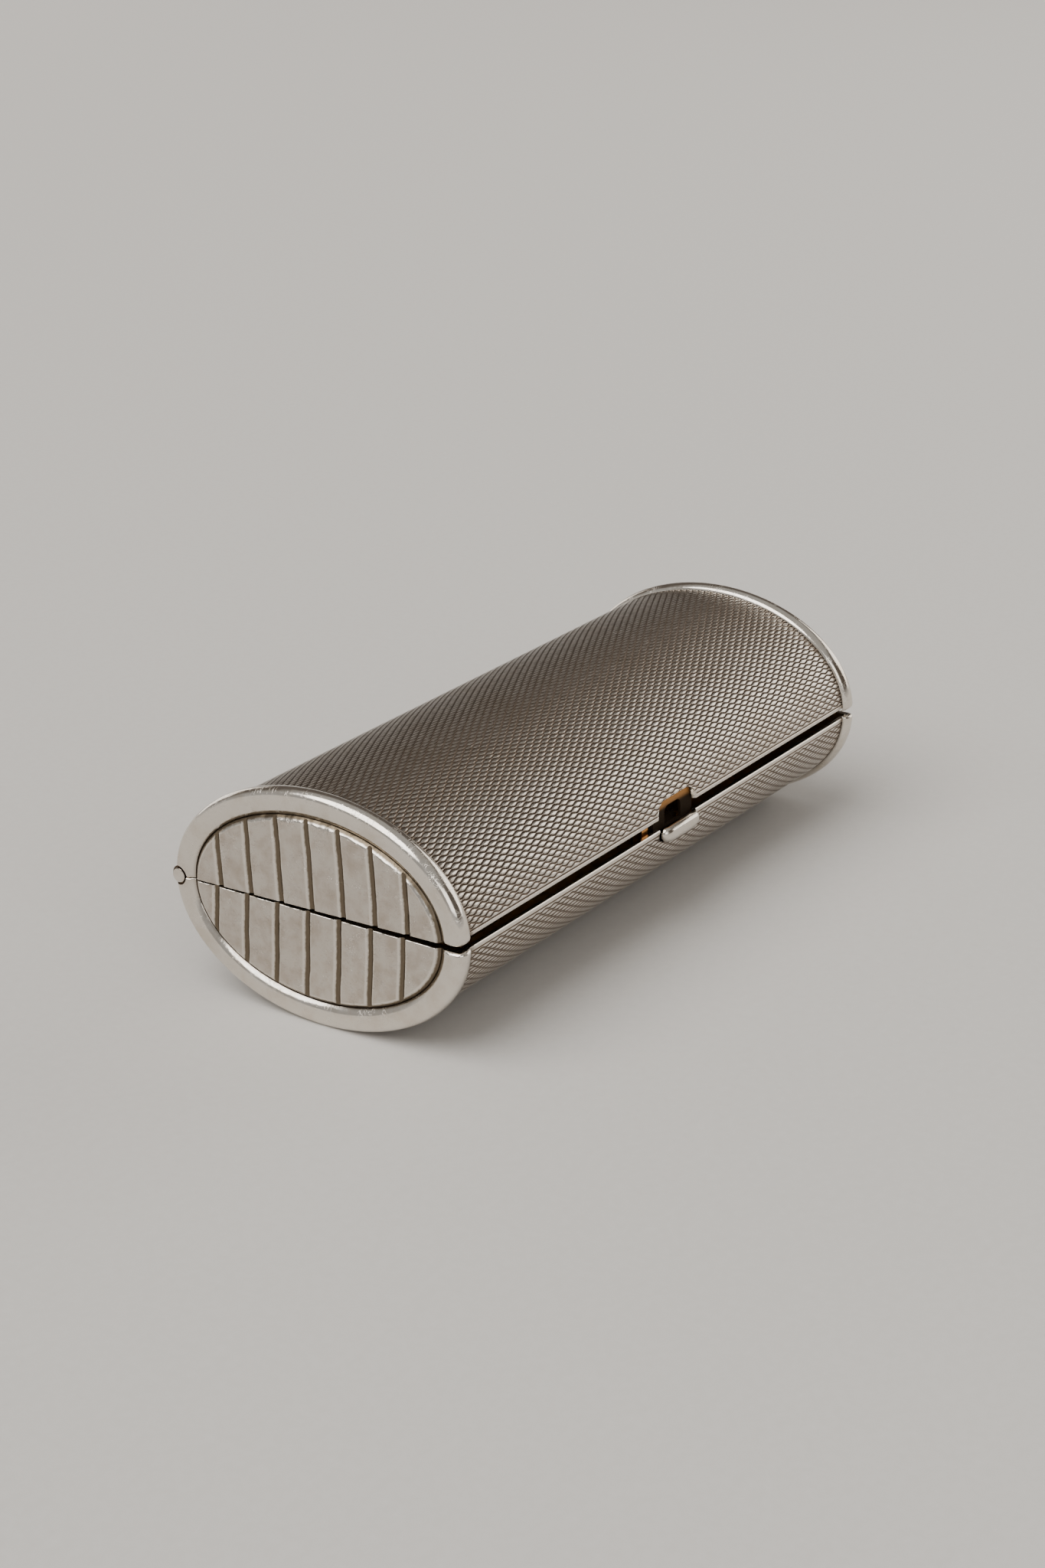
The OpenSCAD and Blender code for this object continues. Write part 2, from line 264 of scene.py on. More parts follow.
def lathed(name, profile, half, materials=(), joined=False, steps=LATHE_STEPS):
    """A profile of (x, r) about the hinge axis, from end to end, or as a ring in section."""
    angles = [2 * math.pi * k / steps for k in range(steps)]

    def at(x, r, a):
        return x, HINGE_Y + r * math.cos(a), r * math.sin(a)

    if joined:
        rings = [[at(x, r, a) for x, r in profile] for a in angles]
    else:
        rings = [[at(x, r, a) for a in angles] for x, r in profile]
    return swept(name, rings, half, materials, joined=joined)


def add_tarnish(obj, values):
    """Stores how tarnished each point is, from 0 to 1, for the materials."""
    layer = obj.data.attributes.new("tarnish", "FLOAT", "POINT")
    layer.data.foreach_set("value", np.asarray(values, np.float32))


def cut(obj, cutters):
    """Takes closed solids out of a closed solid."""
    for cutter in cutters:
        modifier = obj.modifiers.new("cut", "BOOLEAN")
        modifier.operation = "DIFFERENCE"
        modifier.solver = "MANIFOLD"
        modifier.object = cutter
        graph = bpy.context.evaluated_depsgraph_get()
        mesh = bpy.data.meshes.new_from_object(obj.evaluated_get(graph))
        obj.modifiers.clear()
        obj.data = mesh
        bpy.data.objects.remove(cutter)
    return obj


def finished(obj, body, nodes, sharp=SHARP):
    """Crisp edges above an angle, and the piece's place in the frame."""
    obj.data.polygons.foreach_set("use_smooth", np.ones(len(obj.data.polygons), bool))
    obj.data.set_sharp_from_angle(angle=math.radians(sharp))
    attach(obj, body)
    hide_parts(*nodes)
    return obj


def softened(obj, width):
    """A small rounding along the edges of a piece."""
    edge = obj.modifiers.new("edge", "BEVEL")
    edge.width = width * MM
    edge.segments = 2
    edge.limit_method = "ANGLE"
    edge.angle_limit = math.radians(BEVEL_ANGLE)
    edge.harden_normals = True
    return obj


# ---------------------------------------------------------------- hinge

def knuckle_start(k):
    return -KNUCKLES * KNUCKLE_L / 2 + k * KNUCKLE_L


def owner(k):
    return BASE if k % 2 == 0 else LID


def hinge_cutter(x0, x1, r, half):
    return lathed("cutter", [(x0, r), (x1, r)], half)


def hinge_room(half):
    """Room for the barrel: a half touches its own knuckles and clears the other half's."""
    cutters = []
    for k in range(KNUCKLES):
        own = owner(k) == half
        spare, gap = (0, OWN_GAP) if own else (KNUCKLE_PLAY, HINGE_GAP)
        start = -END_X - PAST if k == 0 else knuckle_start(k) - spare
        stop = END_X + PAST if k == KNUCKLES - 1 else knuckle_start(k + 1) + spare
        cutters.append(hinge_cutter(start, stop, BARREL_R + gap, half))
    return cutters


def end_room(half, end):
    """Room for the barrel in a rim or an end panel."""
    gap = OWN_GAP if half == BASE else HINGE_GAP
    reach = sorted((end * (END_X - END_ROOM), end * (END_X + PAST)))
    return hinge_cutter(*reach, BARREL_R + gap, half)


def knuckle(k, silver):
    """One tube of the barrel, with rounded ends."""
    x0 = knuckle_start(k) + KNUCKLE_PLAY / 2
    x1 = x0 + KNUCKLE_L - KNUCKLE_PLAY
    turn = [(KNUCKLE_EDGE * (1 - math.cos(q)), KNUCKLE_EDGE * (1 - math.sin(q)))
            for q in np.linspace(0, QUARTER, KNUCKLE_EDGE_STEPS)]
    profile = [(x0, PIN_R + PIN_PLAY), (x1, PIN_R + PIN_PLAY)]
    profile += [(x1 - a, BARREL_R - b) for a, b in turn]
    profile += [(x0 + a, BARREL_R - b) for a, b in reversed(turn)]
    node = f"{BODY_NAME[owner(k)]}_knuckle_{KNUCKLE_NAME[k]}"
    obj = lathed(node + "_tube", profile, owner(k), (silver,), joined=True)
    return finished(obj, BODY_NAME[owner(k)], [node])


def hinge_pin(silver):
    """The pin, its head inside a dark sunk ring at each end."""
    scale = BARREL_R / PIN_HEAD_R
    profile = [(-PIN_TIP + e, r * scale) for e, r in PIN_HEAD]
    profile += [(-x, r) for x, r in reversed(profile)]
    obj = lathed("hinge_pin_peened", profile, BASE, (silver,))
    dark = [PIN_TARNISH if r > PIN_RING_R * scale else 0 for _, r in profile]
    add_tarnish(obj, np.repeat(dark, LATHE_STEPS))
    return finished(obj, "base", ["hinge_pin"])


# ---------------------------------------------------------------- engine-turned shells

def arc_by_length(d, half):
    """A function from a length along a shell's arc to point and outward normal; the length."""
    a, b = SEMI_W - d, SEMI_H - d
    t = np.linspace(0, math.pi, ARC_POINTS)
    y, h = -a * np.cos(t), b * np.sin(t)
    s = np.concatenate([[0], np.cumsum(np.hypot(np.diff(y), np.diff(h)))])
    front = ARC_POINTS // 2
    start = np.interp(SHELL_PLAY[half], h[:front], s[:front])

    def at(length):
        angle = np.interp(np.asarray(length) + start, s, t)
        point = np.stack([-a * np.cos(angle), b * np.sin(angle)], -1)
        normal = np.stack([-np.cos(angle) / a, np.sin(angle) / b], -1)
        return point, normal / np.linalg.norm(normal, axis=-1, keepdims=True)

    return at, s[-1] - 2 * start


def corner_dip(x, inward):
    """How far the turned lines sag towards a corner of the sheet, by the distance from its edge."""
    near_end = np.exp((np.abs(x) - SHELL_X) / DIP_LENGTH)
    return DIP * near_end * inward / DIP_RISE * math.exp(1 - inward / DIP_RISE)


def turned_rows(x, total):
    """Rows of (length along the arc, depth of cut, tarnish), each for every column of x.

    Wavy V-cuts run along the case, each half a wave out of step with the next, with hollowed
    flanks. They leave staggered grains, and a plain border along both edges.
    """
    count = int((total - 2 * PLAIN_EDGE) / ROW_PITCH)
    first = (total - count * ROW_PITCH) / 2
    wave = WAVE_A * np.sin(2 * math.pi * x / WAVE_L)
    lines = [np.full_like(x, first)]
    for i in range(1, count):
        inward, left = i * ROW_PITCH, (count - i) * ROW_PITCH
        dip = corner_dip(x, inward) - corner_dip(x, left)
        lines.append(first + inward - dip + (wave if i % 2 else -wave))
    lines.append(np.full_like(x, total - first))
    zero, one = np.zeros_like(x), np.ones_like(x)
    border = [step * SEAM_ROUND for step in BORDER_STEPS] + [first - CUT_LIP]
    rows = [(zero + s, zero, zero) for s in border]
    for low, high in zip(lines[:-1], lines[1:]):
        width = high - low
        for t in ROW_STATIONS:
            away = width * min(t, 1 - t)
            hollow = np.maximum(HOLLOW_DEPTH - HOLLOW_SLOPE * away, 0)
            depth = np.maximum(CUT_DEPTH - CUT_SLOPE * away, hollow)
            rows.append((low + t * width, depth, depth / CUT_DEPTH))
    rows.append((lines[-1], zero + CUT_DEPTH, one))
    rows += [(zero + total - s, zero, zero) for s in reversed(border)]
    return rows


def outer_rows(x, half):
    """The turned face of a shell as rows of points, with the tarnish of each point."""
    at, total = arc_by_length(RIM_PROUD, half)
    rows, tarnish = [], []
    for s, depth, dark in turned_rows(x, total):
        point, normal = at(s)
        from_edge = np.clip(1 - np.minimum(s, total - s) / (ROUND_REACH * SEAM_ROUND), 0, 1)
        p = point - normal * (depth + SEAM_ROUND * from_edge ** 2)[:, None]
        rows.append(np.stack([x, p[:, 0], p[:, 1]], 1))
        tarnish.append(dark)
    return rows, tarnish


def inner_rows(x, half, steps=33):
    """The gilt inside of a shell as rows of points, back to where the outside starts."""
    at, total = arc_by_length(INNER_D, half)
    rows = []
    for s in np.linspace(total, 0, steps):
        point, _ = at(np.full_like(x, s))
        rows.append(np.stack([x, point[:, 0], point[:, 1]], 1))
    return rows


def shell(half, silver, gilt):
    """Half of the tube: engine-turned outside and gilt inside."""
    columns = int(round(2 * SHELL_X / WAVE_L * SAMPLES_PER_WAVE)) + 1
    x = np.linspace(-SHELL_X, SHELL_X, columns)
    outside, tarnish = outer_rows(x, half)
    inside = inner_rows(x, half)
    rows = len(outside) + len(inside)
    last = (rows - 1) * columns
    faces = grid_faces(rows, columns)
    faces += [(last + j, last + j + 1, j + 1, j) for j in range(columns - 1)]
    slots = [1 if len(outside) <= i < rows - 1 else 0 for i in range(rows) for _ in x[1:]]
    first_column = [i * columns for i in range(rows)]
    faces += [tuple(first_column), tuple(i + columns - 1 for i in reversed(first_column))]
    slots += [0, 0]
    name = BODY_NAME[half] + "_shell_turned"
    points = to_row(np.concatenate(outside + inside), half)
    obj = mesh_object(name, points, flipped(faces, half == BASE), (silver, gilt), slots)
    add_tarnish(obj, np.concatenate(tarnish + [np.zeros(len(inside) * columns)]))
    cut(obj, hinge_room(half) + [catch_cutter(half)])
    node = BODY_NAME[half] + "_shell"
    return finished(obj, BODY_NAME[half], [node])


# ---------------------------------------------------------------- catch

def notch_outline(grow, steps=10):
    """The notch in the lid's edge as [x, h] points."""
    w, top, r = NOTCH_W / 2 + grow, NOTCH_H + grow, NOTCH_R + grow
    points = [(-w, -PAST), (w, -PAST)]
    for side, start in ((1, 0), (-1, QUARTER)):
        for a in start + np.linspace(0, QUARTER, steps):
            points.append((side * (w - r) + r * math.cos(a), top - r + r * math.sin(a)))
    return [(x + CATCH_X, h) for x, h in points]


def notch_cutter():
    """The notch, with a flare filed round its outside."""
    flare_y = -SEMI_W + RIM_PROUD + NOTCH_FLARE_Y
    rings = []
    for y in (-SEMI_W - PAST, flare_y, WALL_Y + 2 * PAST):
        grow = NOTCH_FLARE * max(flare_y - y, 0) - NOTCH_INSET
        rings.append([(x, y, h) for x, h in notch_outline(grow)])
    return swept("cutter", rings, LID, against=True)


def moon_outline(inset, low=PUSH_TOP, steps=56):
    """The push piece's outline as [x, h] points, its straight edge along the seam."""
    w, high = PUSH_W / 2 - inset, PUSH_H - inset
    r = min(PUSH_CORNER, PUSH_CORNER_SHARE * (high - low))
    points = []
    for a in np.linspace(-QUARTER, 0, PUSH_CORNER_STEPS):
        points.append((CATCH_X + w - r + r * math.cos(a), low + r + r * math.sin(a)))
    for a in np.linspace(0, math.pi, steps)[1:-1]:
        c = math.cos(a)
        points.append((CATCH_X + w * math.copysign(math.sqrt(abs(c)), c),
                       low + r + (high - low - r) * math.sin(a)))
    for a in np.linspace(2 * QUARTER, 3 * QUARTER, PUSH_CORNER_STEPS):
        points.append((CATCH_X - w + r + r * math.cos(a), low + r + r * math.sin(a)))
    return points


def catch_cutter(half):
    """The notch in the lid, or the cut-out in the base that the push piece fits."""
    if half == LID:
        return notch_cutter()
    moon = [(x, h) for x, h in moon_outline(-PUSH_PLAY) if h >= PUSH_TOP + PUSH_CORNER]
    outline = [(moon[0][0], -PAST)] + moon + [(moon[-1][0], -PAST)]
    return prism_y("cutter", outline, -SEMI_W - PAST, WALL_Y + 2 * PAST, BASE)


def push_piece(silver):
    """Thumb piece with a domed front and a rounded top, and its low stem through the wall."""
    front = PUSH_LOW[1]
    rings = []
    for q in np.linspace(QUARTER, 0, PUSH_DOME_STEPS):
        fall = 1 - math.cos(q)
        y = PUSH_SIDE_Y - (PUSH_SIDE_Y - front) * math.sin(q)
        outline = moon_outline(PUSH_ROUND * fall, PUSH_TOP + PUSH_TOP_ROUND * fall)
        rings.append([(x, y, h) for x, h in outline])
    rings.append([(x, PUSH_BACK, h) for x, h in moon_outline(BACK_INSET)])
    for y, inset in zip((PUSH_BACK, PUSH_HIGH[1]), STEM_INSETS):
        rings.append([(x, y, max(h, STEM_TOP)) for x, h in moon_outline(inset)])
    obj = swept("push_piece_moon", rings, BASE, (silver,), against=True)
    finished(obj, "push", ["push_piece"])
    return softened(obj, PUSH_EDGE)


# ---------------------------------------------------------------- rims and end panels

def rim_profile():
    """Section of a rim as [e, d]: a bead, a gently curved face and a slope down to the field."""
    top = RIM_W / 2
    low = FACE_CURVE * (BEAD_D - FACE_MIDDLE) ** 2
    behind = np.linspace(QUARTER, 0, BEHIND_STEPS)[:-1]
    before = np.linspace(0, QUARTER, BEFORE_STEPS)
    face = np.linspace(*FACE_SPAN, FACE_STEPS)
    profile = [(PLATE_E[0], RIM_PROUD + RIM_TUCK)]
    profile += [(top * (1 + math.sin(q)), RIM_PROUD * (1 - math.cos(q))) for q in behind]
    profile += [(low + (top - low) * (1 - math.sin(q)), BEAD_D * (1 - math.cos(q)))
                for q in before]
    profile += [(FACE_CURVE * (d - FACE_MIDDLE) ** 2, d) for d in face]
    profile += [(e, RIM_FACE + d) for e, d in RIM_SLOPE]
    return profile + [(PLATE_E[0], RIM_FACE)]


def rounding(away, r):
    """How far a corner of radius r falls back at a distance from its edge."""
    return r - math.sqrt(r * r - max(r - away, 0) ** 2)


def rim_stations():
    """Shares of the sweep, close together at the seams."""
    middle = np.linspace(*MIDDLE_STATIONS)
    return list(SEAM_STATIONS) + list(middle) + [1 - s for s in reversed(SEAM_STATIONS)]


def rim_ring(half, end, share):
    """The section of a rim at a share of its sweep, smaller close to the seam."""
    away = min(share, 1 - share) * math.pi * (SEMI_W + SEMI_H) / 2
    corner = FRONT_CORNER[half] if share < 0.5 else BACK_CORNER
    fall_d, fall_e = [rounding(away, r) for r in corner]
    ring = []
    for e, d in rim_profile():
        d += fall_d * max(1 - d / CORNER_REACH, 0)
        e += fall_e * max(1 - e / PLATE_E[0], 0)
        a, b = SEMI_W - d, SEMI_H - d
        start = math.asin(SEAM_PLAY / b)
        t = start + (math.pi - 2 * start) * share
        ring.append((end * (END_X - e), -a * math.cos(t), b * math.sin(t)))
    return ring


def rim(half, end, silver):
    """A rounded moulding swept round half the ellipse, its corners rounded at the seam."""
    rings = [rim_ring(half, end, share) for share in rim_stations()]
    name = f"{BODY_NAME[half]}_rim_{END_NAME[end]}"
    obj = swept(name + "_moulding", rings, half, (silver,), against=end == NEAR)
    dark = [min(max((d - RIM_FACE) / RIM_DARK_W + 1, 0), 1) for _, d in rim_profile()]
    add_tarnish(obj, dark * len(rings))
    rest = [rest_cutter()] if half == BASE else []
    cut(obj, [end_room(half, end)] + rest)
    return finished(obj, BODY_NAME[half], [name], RIM_SHARP)


def rest_cutter():
    """Takes off the flats that the case stands on."""
    x, low, high = END_X + PAST, SEAM_Z, SEMI_H + PAST
    return prism_y("cutter", [(-x, low), (x, low), (x, high), (-x, high)], -SEMI_W, SEMI_W, BASE)


def half_oval(e, d, end, steps=72):
    """Points of half an ellipse at a depth e from an end, from the front over to the back."""
    a, b = SEMI_W - d, SEMI_H - d
    start = math.asin(SEAM_PLAY / b)
    angles = np.linspace(start, math.pi - start, steps)
    return [(end * (END_X - e), -a * math.cos(t), b * math.sin(t)) for t in angles]


def panel_blank(half, end, materials):
    """End plate with its raised field, before the grooves."""
    levels = [(PLATE_E[1], RIM_PROUD), (PLATE_E[0], RIM_PROUD), (PLATE_E[0], RIM_FACE)]
    levels += [(FIELD_E + e, RIM_FACE + d) for e, d in CHAMFER]
    rings = [half_oval(e, d, end) for e, d in levels]
    return swept("blank", rings, half, materials, against=end == FAR)


def groove_section():
    """Half a groove as (distance from its middle, depth), from its shoulder to its bottom."""
    shoulder = [(GROOVE_W / 2 + away, deep) for away, deep in GROOVE_SHOULDER]
    return shoulder + [(away, GROOVE_DEPTH - up) for away, up in GROOVE_BOTTOM]


def groove_middle(half, y, h):
    """Where a groove's middle is at a height: it leans, and strays a little like the real ones."""
    lean = math.tan(math.radians(GROOVE_LEAN[half]))
    wander = sum(size * math.sin(by_y * y + by_h * h) for size, by_y, by_h in GROOVE_WANDER)
    return y + GROOVE_MIDDLE[half] + h * lean + wander


def groove_cutter(half, end, y):
    """A groove down the field, from the seam outwards."""
    section = groove_section()
    ring = [(-w, deep) for w, deep in section] + [(w, deep) for w, deep in section[-2::-1]]
    ring += [(section[0][0], -PAST / 2), (-section[0][0], -PAST / 2)]
    rings = []
    for h in np.linspace(-PAST, SEMI_H, GROOVE_STEPS):
        middle = groove_middle(half, y, h)
        rings.append([(end * (END_X - FIELD_E - deep), middle + w, h) for w, deep in ring])
    return swept("cutter", rings, half, against=end == FAR)


def seam_cutter(half, end):
    """Rounds the field's edge along the seam."""
    r = FIELD_ROUND
    outside, below, above, start = -0.3, -0.5, r + 0.05, -0.01
    turn = np.linspace(0, QUARTER, FIELD_ROUND_STEPS)
    ring = [(outside, below)] + [(r * (1 - math.sin(q)), r * (1 - math.cos(q))) for q in turn]
    ring += [(start, above), (outside, above)]
    section = [(e + FIELD_E, h + SEAM_PLAY) for e, h in ring]
    rings = [[(end * (END_X - e), y, h) for e, h in section] for y in (-SEMI_W, SEMI_W)]
    return swept("cutter", rings, half, against=end == NEAR)


def panel(half, end, silver, gilt):
    """End plate with a grooved field outside, gilt inside."""
    obj = panel_blank(half, end, (silver, gilt))
    reach = (GROOVE_COUNT - 1) / 2
    cutters = [groove_cutter(half, end, (k - reach) * GROOVE_PITCH) for k in range(GROOVE_COUNT)]
    cut(obj, cutters + [end_room(half, end), seam_cutter(half, end)])
    inside = (END_X - PLATE_E[1]) * MM
    for face in obj.data.polygons:
        if abs(face.center.x) < inside + 0.01 * MM:
            face.material_index = 1
    name = f"{BODY_NAME[half]}_panel_{END_NAME[end]}"
    obj.name = name + "_ribbed"
    return finished(obj, BODY_NAME[half], [name], PANEL_SHARP)


# ---------------------------------------------------------------- materials

class Shader:
    """A node material under construction: short calls that add nodes and link them."""

    def __init__(self, name, **constants):
        self.material = bpy.data.materials.new(name)
        self.material.use_nodes = True
        self.tree = self.material.node_tree
        self.main = self.tree.nodes["Principled BSDF"]
        for socket, value in constants.items():
            self.main.inputs[socket.replace("_", " ")].default_value = value

    def node(self, kind, settings=(), **inputs):
        """A new node, its inputs given by name, or by number as i0 and i1."""
        made = self.tree.nodes.new(kind)
        for key, value in dict(settings).items():
            setattr(made, key, value)
        for key, value in inputs.items():
            numbered = key[0] == "i" and key[1:].isdigit()
            self.feed(made.inputs[int(key[1:]) if numbered else key], value)
        return made

    def feed(self, socket, value):
        if isinstance(value, bpy.types.NodeSocket):
            self.tree.links.new(value, socket)
        else:
            socket.default_value = value

    def place(self):
        """Place on the object, in millimetres."""
        where = self.node("ShaderNodeTexCoord").outputs["Object"]
        return self.node("ShaderNodeVectorMath", {"operation": "SCALE"}, Vector=where,
                         Scale=1 / MM).outputs[0]

    def stretched(self, where, scale, turn=(0, 0, 0)):
        return self.node("ShaderNodeMapping", Vector=where, Scale=scale, Rotation=turn).outputs[0]

    def noise(self, where, scale, detail=4.0, rough=0.55):
        return self.node("ShaderNodeTexNoise", Vector=where, Scale=scale, Detail=detail,
                         Roughness=rough).outputs["Fac"]

    def tarnish(self):
        return self.node("ShaderNodeAttribute", {"attribute_name": "tarnish"}).outputs["Fac"]

    def ramp(self, value, low, high, to_low=0.0, to_high=1.0):
        return self.node("ShaderNodeMapRange", {"interpolation_type": "SMOOTHSTEP"}, Value=value,
                         **{"From Min": low, "From Max": high, "To Min": to_low,
                            "To Max": to_high}).outputs[0]

    def maths(self, operation, a, b=0.0):
        return self.node("ShaderNodeMath", {"operation": operation}, i0=a, i1=b).outputs[0]

    def plus(self, a, b):
        return self.maths("ADD", a, b)

    def minus(self, a, b):
        return self.maths("SUBTRACT", a, b)

    def times(self, a, b):
        return self.maths("MULTIPLY", a, b)

    def larger(self, a, b):
        return self.maths("MAXIMUM", a, b)

    def size(self, a):
        return self.maths("ABSOLUTE", a)

    def mix(self, share, a, b):
        mixer = self.node("ShaderNodeMix", {"data_type": "RGBA"}, i0=share, i6=a, i7=b)
        return mixer.outputs[2]

    def bump(self, height, strength, distance, normal=None):
        """A bump whose distance is in millimetres."""
        made = self.node("ShaderNodeBump", Height=height, Strength=strength, Distance=distance * MM)
        if normal is not None:
            self.feed(made.inputs["Normal"], normal)
        return made.outputs[0]

    def scratches(self, where, scale, turn, thin=0.02):
        """Sparse fine lines: the zero crossings of a long drawn-out noise, broken up by another."""
        drawn = self.stretched(where, (scale * 0.06, scale, scale), turn)
        field = self.noise(drawn, 1.0, 2.0, 0.5)
        line = self.ramp(self.size(self.minus(field, 0.5)), thin, 0.0)
        gaps = self.ramp(self.noise(where, scale * 0.25, 2.0), 0.52, 0.62)
        return self.times(line, gaps)

    def finish(self, color=None, roughness=None, normal=None):
        for socket, value in (("Base Color", color), ("Roughness", roughness), ("Normal", normal)):
            if value is not None:
                self.feed(self.main.inputs[socket], value)
        return self.material


SILVER = (0.73, 0.685, 0.62, 1)
WARM_SILVER = (0.62, 0.55, 0.46, 1)
TARNISH = (0.075, 0.046, 0.026, 1)
DULL_SILVER = (0.60, 0.555, 0.50, 1)
DULL_WARM = (0.44, 0.375, 0.31, 1)
GROOVE_BROWN = (0.125, 0.095, 0.06, 1)
STAIN = (0.42, 0.33, 0.24, 1)
GOLD = (0.76, 0.55, 0.27, 1)
DARK_GOLD = (0.46, 0.29, 0.12, 1)
# Gilt darkened as painted shade, for the catch parts in the dim inside of the case
INSIDE_SHADE_GOLD = (0.36, 0.165, 0.04, 1)
# Near-black of the painted shade on the catch parts inside the case
SHADE_BLACK = (0.014, 0.009, 0.005, 1)
GLASS = (0.90, 0.91, 0.91, 1)
DULL_GLASS = (0.80, 0.81, 0.80, 1)
FELT = (0.12, 0.095, 0.08, 1)
DARK_FELT = (0.05, 0.04, 0.035, 1)


def turned_silver():
    """Silver that is bright on the grains and dark in the cuts and against the rims."""
    s = Shader("engine_turned_silver", Metallic=1.0)
    where = s.place()
    cloud = s.noise(where, scale=0.16, detail=5.0, rough=0.6)
    fine = s.noise(where, scale=5.0, detail=3.0, rough=0.6)
    stained = s.mix(s.ramp(cloud, 0.38, 0.72, to_high=0.5), SILVER, WARM_SILVER)
    depth = s.ramp(s.plus(s.tarnish(), s.times(fine, 0.3)), 0.25, 0.62, to_high=0.96)
    x = s.node("ShaderNodeSeparateXYZ", Vector=where).outputs[0]
    uneven = s.times(s.noise(where, scale=0.8, detail=3.0), 1.6)
    rim_x = END_X - RIM_W
    to_rim = s.ramp(s.plus(s.size(x), uneven), rim_x - 0.6, rim_x + 0.9, to_high=0.85)
    color = s.mix(s.larger(depth, to_rim), stained, TARNISH)
    lines = s.scratches(where, scale=1.1, turn=(0.2, 0.5, 0.7))
    worn = s.ramp(s.noise(where, scale=1.3), 0.3, 0.7, 0.15, 0.26)
    grain = s.bump(s.noise(where, scale=14.0, detail=3.0), strength=0.25, distance=0.02)
    normal = s.bump(lines, strength=0.5, distance=0.02, normal=grain)
    return s.finish(color, s.plus(worn, s.times(depth, 0.2)), normal)


def polished_silver():
    """Polished silver with soft dents, specks and scratches, dark where it is marked sunk."""
    s = Shader("polished_silver", Metallic=1.0)
    where = s.place()
    cloud = s.noise(where, scale=0.35, detail=5.0, rough=0.6)
    color = s.mix(s.ramp(cloud, 0.42, 0.72, to_high=0.7), SILVER, WARM_SILVER)
    specks = s.ramp(s.noise(where, scale=3.1, detail=2.0), 0.70, 0.78)
    color = s.mix(s.times(specks, 0.45), color, STAIN)
    color = s.mix(s.ramp(s.tarnish(), 0.1, 0.9, to_high=0.95), color, TARNISH)
    lines = s.larger(s.scratches(where, scale=1.6, turn=(0.3, 0.2, 0.9)),
                     s.scratches(where, scale=2.3, turn=(1.1, 0.8, 0.1)))
    worn = s.ramp(s.noise(where, scale=0.9, detail=5.0), 0.3, 0.7, 0.09, 0.19)
    dents = s.bump(s.noise(where, scale=0.7, detail=2.0), strength=0.2, distance=0.12)
    normal = s.bump(lines, strength=0.4, distance=0.02, normal=dents)
    return s.finish(color, s.plus(worn, s.times(lines, 0.16)), normal)


def ribbed_silver():
    """Dull silver on the strips, brighter on the shoulders of the grooves, where it is rubbed and
    also painted as a highlight, and brown in the grooves.
    """
    s = Shader("ribbed_silver", Metallic=1.0)
    where = s.place()
    x = s.node("ShaderNodeSeparateXYZ", Vector=where).outputs[0]
    sunk = s.minus(END_X - FIELD_E, s.size(x))
    fine = s.noise(where, scale=2.6, rough=0.6)
    dark = s.ramp(s.plus(sunk, s.times(fine, 0.2)), 0.2, 0.4, to_high=0.95)
    cloud = s.noise(where, scale=0.45, detail=5.0, rough=0.6)
    color = s.mix(s.ramp(cloud, 0.36, 0.72, to_high=0.8), DULL_SILVER, DULL_WARM)
    specks = s.ramp(s.noise(where, scale=4.0, detail=2.0), 0.62, 0.74)
    color = s.mix(s.times(specks, 0.55), color, STAIN)
    # Brighter silver on the groove shoulders: rubbed wear, and a painted highlight along them.
    color = s.mix(s.times(s.ramp(sunk, 0.012, 0.05), 0.9), color, SILVER)
    color = s.mix(dark, color, GROOVE_BROWN)
    lines = s.larger(s.scratches(where, scale=1.4, turn=(0.1, 0.4, 1.2)),
                     s.scratches(where, scale=2.1, turn=(0.9, 0.2, 0.5)))
    worn = s.ramp(s.noise(where, scale=1.2, detail=5.0), 0.3, 0.7, 0.1, 0.2)
    dents = s.bump(s.noise(where, scale=0.33, detail=2.0), strength=0.5, distance=0.8)
    peel = s.bump(s.noise(where, scale=2.2, detail=3.0), strength=0.4, distance=0.03, normal=dents)
    normal = s.bump(lines, strength=0.5, distance=0.03, normal=peel)
    return s.finish(color, s.plus(worn, s.times(dark, 0.2)), normal)


def gilt_finish(name, shade_heights=None):
    """Brushed gilding; a pair of heights, low and high, gives where a painted shade turns it dark
    towards the bottom, for the dim inside of the case.
    """
    # Where shade is painted, a low specular level keeps the shaded part from catching reflections.
    s = Shader(name, Metallic=1.0, Specular_IOR_Level=0.1 if shade_heights else 0.5)
    where = s.place()
    brushed = s.noise(s.stretched(where, (0.15, 3.0, 3.0)), scale=3.0)
    cloud = s.noise(where, scale=0.3, detail=5.0, rough=0.6)
    color = s.mix(s.ramp(cloud, 0.4, 0.8, to_high=0.55), GOLD, DARK_GOLD)
    roughness = s.ramp(brushed, 0.3, 0.7, 0.26, 0.4)
    if shade_heights:
        # Painted shade: below the given heights the gilt fades to near-black and stops being metal.
        height = s.node("ShaderNodeSeparateXYZ", Vector=where).outputs[2]
        shade_share = s.ramp(height, shade_heights[1], shade_heights[0], to_high=0.98)
        color = s.mix(shade_share, INSIDE_SHADE_GOLD, SHADE_BLACK)
        s.feed(s.main.inputs["Metallic"], s.minus(1.0, shade_share))
        roughness = s.larger(roughness, s.times(shade_share, 0.8))
    return s.finish(color, roughness, s.bump(brushed, strength=0.2, distance=0.02))


